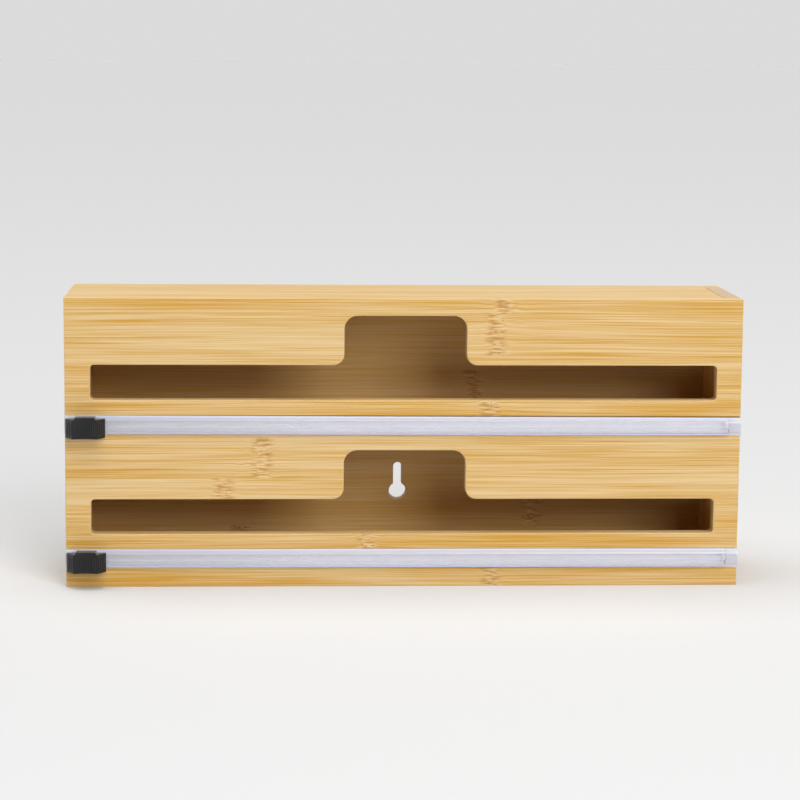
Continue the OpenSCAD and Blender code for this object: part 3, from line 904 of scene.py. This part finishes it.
foam_tape, tree, shader = new_material("white foam tape")
cells = noise(tree, vector(tree, *place_in_mm(tree)), (1.8, 1.8, 1.8), 3.0, 0.6)
foam_grey, foam_white = (0.86, 0.86, 0.88), (0.94, 0.94, 0.95)
plug(tree, shader, {"Base Color": blend(tree, cells, foam_grey, foam_white), "Roughness": 0.9})
relief(tree, shader, cells, 0.3, 0.1 * MM)


def track_outline(tier, x, channelled):
    """A track's section at a place along it, or that of the solid block at its end."""
    low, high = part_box(tier + "_cutter_track")
    front, back = low[1], high[1]
    face, rear = front + TRACK_FACE, back - TRACK_WALL
    floor, ceiling = low[2] + TRACK_WALL, low[2] + TRACK_WALL + CHANNEL_H
    slit_lower, slit_upper = low[2] + LIP_H, low[2] + LIP_H + SLIT_H
    lower, upper = track_edges(tier, x)
    below = [(back, lower, TRACK_BACK_R), (front, lower, LIP_R)]
    above = [(front, upper - BROW_H, BROW_R), (front + BROW_D, upper, CREST_R), (back, upper, TRACK_BACK_R)]
    channel = [(front, slit_lower, SLIT_R), (face, slit_lower, SLIT_R)]
    channel += [(face, floor, CHANNEL_R), (rear, floor, CHANNEL_R)]
    channel += [(rear, ceiling, CHANNEL_R), (face, ceiling, CHANNEL_R)]
    channel += [(face, slit_upper, SLIT_R), (front, slit_upper, SLIT_R)]
    return softened(below + channel + above if channelled else below + above)


def note_edges(piece, tier):
    """Marks each point of a track with its distance in millimetres from the track's two long edges."""
    edges = [track_edges(tier, point.co.x) for point in piece.data.vertices]
    from_lower = piece.data.attributes.new("from_lower", "FLOAT", "POINT")
    from_upper = piece.data.attributes.new("from_upper", "FLOAT", "POINT")
    for step, (point, (lower, upper)) in enumerate(zip(piece.data.vertices, edges)):
        from_lower.data[step].value = (point.co.z - lower) / MM
        from_upper.data[step].value = (upper - point.co.z) / MM


for tier in ("lower", "upper"):
    dress(tier + "_track_tape", foam_tape)
    low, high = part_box(tier + "_cutter_track")
    stop_low, stop_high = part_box(tier + "_track_stops")
    track_name, stops_name = tier + "_cutter_track", tier + "_track_stops"
    track = extruded(track_name + "_plastic", lambda x: track_outline(tier, x, True), [(low[0], high[0])])
    spans = [(stop_low[0], low[0]), (high[0], stop_high[0])]
    stops = extruded(stops_name + "_plastic", lambda x: track_outline(tier, x, False), spans)
    ease = stops.modifiers.new("eased ends", "BEVEL")
    ease.limit_method = "ANGLE"
    ease.angle_limit = STOP_SHARP_TURN
    ease.width = STOP_EASE
    ease.segments = STOP_EASE_STEPS
    settle(stops)
    for piece, node, plastic in ((track, track_name, clear_track), (stops, stops_name, clear_stop)):
        even_shading(piece)
        note_edges(piece, tier)
        fit(piece, node, "box", plastic)

# Slide cutters
# A black moulded grip pressed onto the post of a small carriage, which runs in the track's channel and
# holds a steel blade behind the slit. The grip has sloping wings, a hollowed middle and fine upright ribs.
CAP_W = 19.5 * MM
CAP_D = 6.75 * MM
CAP_EASE = 0.35 * MM
CAP_LEAST_R = 0.02 * MM
CAP_CORNER_STEPS = 3
WING_H = 9.5 * MM
WING_D = 1.7 * MM
CROWN_H = 10.6 * MM
CROWN_HALF = 5.1 * MM
RIDGE_X = 5.8 * MM
HOLLOW_D = 0.9 * MM
CAP_STATIONS = 120
SMOOTH_STEP = 0.06 * MM
SMOOTH_STEPS = 4
RIBS = 17
RIB_PITCH = 1.05 * MM
RIB_R = 0.35 * MM
RIB_L = 7.6 * MM
RIB_SUNK = 0.1 * MM
RIB_TAPER = 0.12
RIB_TIP = 0.3
RIB_RINGS = 10
RIB_SIDES = 10


def cap_depth(x):
    """Depth of the cap at a distance from its middle: sloping wings, and a hollow between the ridges."""
    wing = WING_D + (CAP_D - WING_D) * (CAP_W / 2 - abs(x)) / (CAP_W / 2 - RIDGE_X)
    hollow_r = (RIDGE_X**2 + HOLLOW_D**2) / (2 * HOLLOW_D)
    return min(wing, CAP_D - HOLLOW_D + hollow_r - math.sqrt(hollow_r**2 - x**2))


def cap_height(x):
    """Height of the cap at a distance from its middle: a crown between lower wings."""
    return CROWN_H if abs(x) < CROWN_HALF else WING_H


def smoothed(shape, x):
    """A shape's value with its corners taken off, as the mean over a short stretch."""
    reach = [step * SMOOTH_STEP for step in range(-SMOOTH_STEPS, SMOOTH_STEPS + 1)]
    return sum(shape(x + step) for step in reach) / len(reach)


def cap_ring(bm, node_low, node_high, x, inset):
    """The cap's outline in Y and Z at a distance from its middle, with rounded corners."""
    corner_r = max(CAP_EASE - inset, CAP_LEAST_R)
    back, lower = node_high[1] - inset, node_low[2] + inset
    front = node_high[1] - smoothed(cap_depth, x) + inset
    upper = node_low[2] + smoothed(cap_height, x) - inset
    points = arc((back - corner_r, lower + corner_r), corner_r, 270, 360, CAP_CORNER_STEPS)
    points += arc((back - corner_r, upper - corner_r), corner_r, 0, 90, CAP_CORNER_STEPS)
    points += arc((front + corner_r, upper - corner_r), corner_r, 90, 180, CAP_CORNER_STEPS)
    points += arc((front + corner_r, lower + corner_r), corner_r, 180, 270, CAP_CORNER_STEPS)
    middle = (node_low[0] + node_high[0]) / 2
    return [bm.verts.new((middle + x, y, z)) for y, z in points]


rib_sizes = {"Middle": "Vector", "Ribs": "Int", "Pitch": "Float"}
rib_sizes |= {"Radius": "Float", "Length": "Float", "Sunk": "Float"}
rib_tree, given = new_tree("grip ribs", rib_sizes)
reach = calc(rib_tree, "MULTIPLY", calc(rib_tree, "SUBTRACT", given["Ribs"], 1.0), given["Pitch"])
first = vector(rib_tree, calc(rib_tree, "MULTIPLY", reach, -0.5), 0.0, 0.0)
start = add(rib_tree, "ShaderNodeVectorMath", {0: given["Middle"], 1: first}).outputs[0]
line_inputs = {"Count": given["Ribs"], "Start Location": start}
line_inputs["Offset"] = vector(rib_tree, given["Pitch"], 0.0, 0.0)
line = add(rib_tree, "GeometryNodeMeshLine", line_inputs).outputs[0]
aim = {"Target Geometry": given["Geometry"], "Ray Direction": (0, 1, 0)}
onto = {"Geometry": line, "Position": add(rib_tree, "GeometryNodeRaycast", aim).outputs["Hit Position"]}
onto["Offset"] = vector(rib_tree, 0.0, given["Sunk"], 0.0)
seats = add(rib_tree, "GeometryNodeSetPosition", onto).outputs[0]
half_up = vector(rib_tree, 0.0, 0.0, calc(rib_tree, "MULTIPLY", given["Length"], 0.5))
half_down = vector(rib_tree, 0.0, 0.0, calc(rib_tree, "MULTIPLY", given["Length"], -0.5))
spine = add(rib_tree, "GeometryNodeCurvePrimitiveLine", {"Start": half_down, "End": half_up}).outputs[0]
spine = add(rib_tree, "GeometryNodeResampleCurve", {"Curve": spine, "Count": RIB_RINGS}).outputs[0]
travel = rib_tree.nodes.new("GeometryNodeSplineParameter").outputs["Factor"]
from_middle = calc(rib_tree, "ABSOLUTE", calc(rib_tree, "SUBTRACT", travel, 0.5))
from_end = calc(rib_tree, "SUBTRACT", 0.5, from_middle)
girth = spread(rib_tree, from_end, 0.0, RIB_TAPER, RIB_TIP, 1.0)
round_inputs = {"Resolution": RIB_SIDES, "Radius": given["Radius"]}
ring = add(rib_tree, "GeometryNodeCurvePrimitiveCircle", round_inputs).outputs["Curve"]
rib_inputs = {"Curve": spine, "Profile Curve": ring, "Scale": girth, "Fill Caps": True}
rib = add(rib_tree, "GeometryNodeCurveToMesh", rib_inputs).outputs[0]
rib_row = add(rib_tree, "GeometryNodeInstanceOnPoints", {"Points": seats, "Instance": rib}).outputs[0]
whole = rib_tree.nodes.new("GeometryNodeJoinGeometry")
for part in (given["Geometry"], rib_row):
    rib_tree.links.new(part, whole.inputs[0])
end_tree(rib_tree, given, whole.outputs[0])


def moulded_black(name, shade, rough, sheen):
    """Black plastic with the fine even grain of a moulding tool, greyer where it is seen aslant."""
    fresh, wear_and_highlight = (shade, shade, shade * 1.06), (shade * 1.5, shade * 1.5, shade * 1.5)
    material, tree, shader = new_material(name)
    place = vector(tree, *place_in_mm(tree))
    texture = noise(tree, place, (9.0, 9.0, 9.0), 2.0, 0.6)
    wear = noise(tree, place, (0.5, 0.5, 0.5), 3.0)
    plug(tree, shader, {
        "Base Color": blend(tree, wear, fresh, wear_and_highlight),
        "Roughness": vary(tree, wear, rough - 0.06, rough + 0.06),
        "Specular IOR Level": 0.3,
        "Sheen Weight": sheen,
        "Sheen Roughness": 0.35,
    })
    relief(tree, shader, texture, 0.12, 0.03 * MM)
    return material


cap_black = moulded_black("satin black plastic", shade=0.006, rough=0.42, sheen=0.5)
carriage_black = moulded_black("black carriage plastic", shade=0.026, rough=0.50, sheen=0.1)
blade_steel, tree, shader = new_material("ground blade steel")
scratches = noise(tree, vector(tree, *place_in_mm(tree)), (0.6, 7.0, 7.0), 3.0, 0.6)
steel_dull, steel_bright = (0.52, 0.53, 0.55), (0.68, 0.69, 0.71)
plug(tree, shader, {
    "Base Color": blend(tree, scratches, steel_dull, steel_bright),
    "Roughness": vary(tree, scratches, 0.18, 0.34),
    "Metallic": 1.0,
})

for tier in ("lower", "upper"):
    body = tier + "_cutter"
    dress(tier + "_slider_carriage", carriage_black)
    dress(tier + "_cutter_blade", blade_steel)
    cap_low, cap_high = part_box(tier + "_slider_cap")
    ends = quarter_round(CAP_EASE)[:-1]
    inner = CAP_W / 2 - CAP_EASE
    stations = [(-CAP_W / 2 + along, inset) for inset, along in ends]
    stations += [(-inner + 2 * inner * step / CAP_STATIONS, 0) for step in range(CAP_STATIONS + 1)]
    stations += [(CAP_W / 2 - along, inset) for inset, along in reversed(ends)]
    bm = bmesh.new()
    rings = [cap_ring(bm, cap_low, cap_high, x, inset) for x, inset in stations]
    for one, two in zip(rings, rings[1:]):
        wall(bm, one, two)
    bm.faces.new(rings[0])
    bm.faces.new(rings[-1])
    cap = new_piece(tier + "_slider_cap_plastic", bm)
    grow(cap, rib_tree, {
        "Middle": ((cap_low[0] + cap_high[0]) / 2, cap_low[1] - PAST_FACE, cap_low[2] + WING_H / 2),
        "Ribs": RIBS,
        "Pitch": RIB_PITCH,
        "Radius": RIB_R,
        "Length": RIB_L,
        "Sunk": RIB_SUNK,
        "Material": cap_black,
    })
    even_shading(cap)
    fit(cap, tier + "_slider_cap", body)

# Stage
# A plain pale floor under soft studio light: a wide window in front on the right, an even ceiling, and a
# fainter light from high in front. The camera stands where the photograph was taken from.
FLOOR_HALF = 40.0
LIT_POINT = Vector((0, 0, 0.07))
CAMERA_PLACE = (-72.7 * MM, -1258.55 * MM, 266.7 * MM)
CAMERA_YAW = math.radians(3.28)
CAMERA_PITCH = math.radians(8.04)
CAMERA_ROLL = math.radians(-0.51)
CAMERA_LENS = 112.6
CAMERA_SENSOR = 36

bm = bmesh.new()
bmesh.ops.create_grid(bm, x_segments=1, y_segments=1, size=FLOOR_HALF)
floor = new_piece("floor", bm)
floor_material, tree, shader = new_material("pale floor")
plug(tree, shader, {"Base Color": (0.79, 0.79, 0.79, 1.0), "Roughness": 1.0, "Specular IOR Level": 0.0})
floor.data.materials.append(floor_material)

# The room is pale where the camera sees or a gloss mirrors it, and adds only a little light of its own
world = bpy.data.worlds.new("studio")
world.use_nodes = True
bpy.context.scene.world = world
sky = world.node_tree
ambient = sky.nodes["Background"]
plug(sky, ambient, {"Color": (0.99, 0.995, 1.0, 1.0), "Strength": 0.06})
pale = add(sky, "ShaderNodeBackground", {"Color": (0.710, 0.711, 0.711, 1.0), "Strength": 1.0})
ray = sky.nodes.new("ShaderNodeLightPath").outputs
seen = calc(sky, "MAXIMUM", ray["Is Camera Ray"], ray["Is Glossy Ray"])
seen = calc(sky, "MAXIMUM", seen, ray["Is Transmission Ray"])
either = add(sky, "ShaderNodeMixShader", {0: seen, 1: ambient.outputs[0], 2: pale.outputs[0]})
sky.links.new(either.outputs[0], sky.nodes["World Output"].inputs["Surface"])


def lamp(name, kind, place, energy, **settings):
    """Sets up a lamp at a place, turned towards the box."""
    light = bpy.data.lights.new(name, kind)
    light.energy = energy
    for setting, value in settings.items():
        setattr(light, setting, value)
    stand = bpy.data.objects.new(name, light)
    stand.location = place
    stand.rotation_euler = (LIT_POINT - Vector(place)).to_track_quat("-Z", "Y").to_euler()
    bpy.context.scene.collection.objects.link(stand)


lamp("window", "AREA", (1.15, -2.83, 1.44), 51.0, size=1.75)
lamp("ceiling", "SUN", (-0.12, 0.02, 1.0), 2.1, angle=math.radians(60))
lamp("high front", "SUN", (0.25, -0.80, 1.15), 0.7, angle=math.radians(40))

forward = Vector((
    math.sin(CAMERA_YAW) * math.cos(CAMERA_PITCH),
    math.cos(CAMERA_YAW) * math.cos(CAMERA_PITCH),
    -math.sin(CAMERA_PITCH),
))
level = Vector((math.cos(CAMERA_YAW), -math.sin(CAMERA_YAW), 0))
down = forward.cross(level)
right = level * math.cos(CAMERA_ROLL) + down * math.sin(CAMERA_ROLL)
down = down * math.cos(CAMERA_ROLL) - level * math.sin(CAMERA_ROLL)
camera_data = bpy.data.cameras.new("camera")
camera_data.lens = CAMERA_LENS
camera_data.sensor_width = CAMERA_SENSOR
camera = bpy.data.objects.new("camera", camera_data)
turn = Matrix((right, -down, -forward)).transposed()
camera.matrix_world = Matrix.Translation(CAMERA_PLACE) @ turn.to_4x4()
bpy.context.scene.collection.objects.link(camera)
bpy.context.scene.camera = camera
bpy.context.scene.view_settings.view_transform = "Standard"
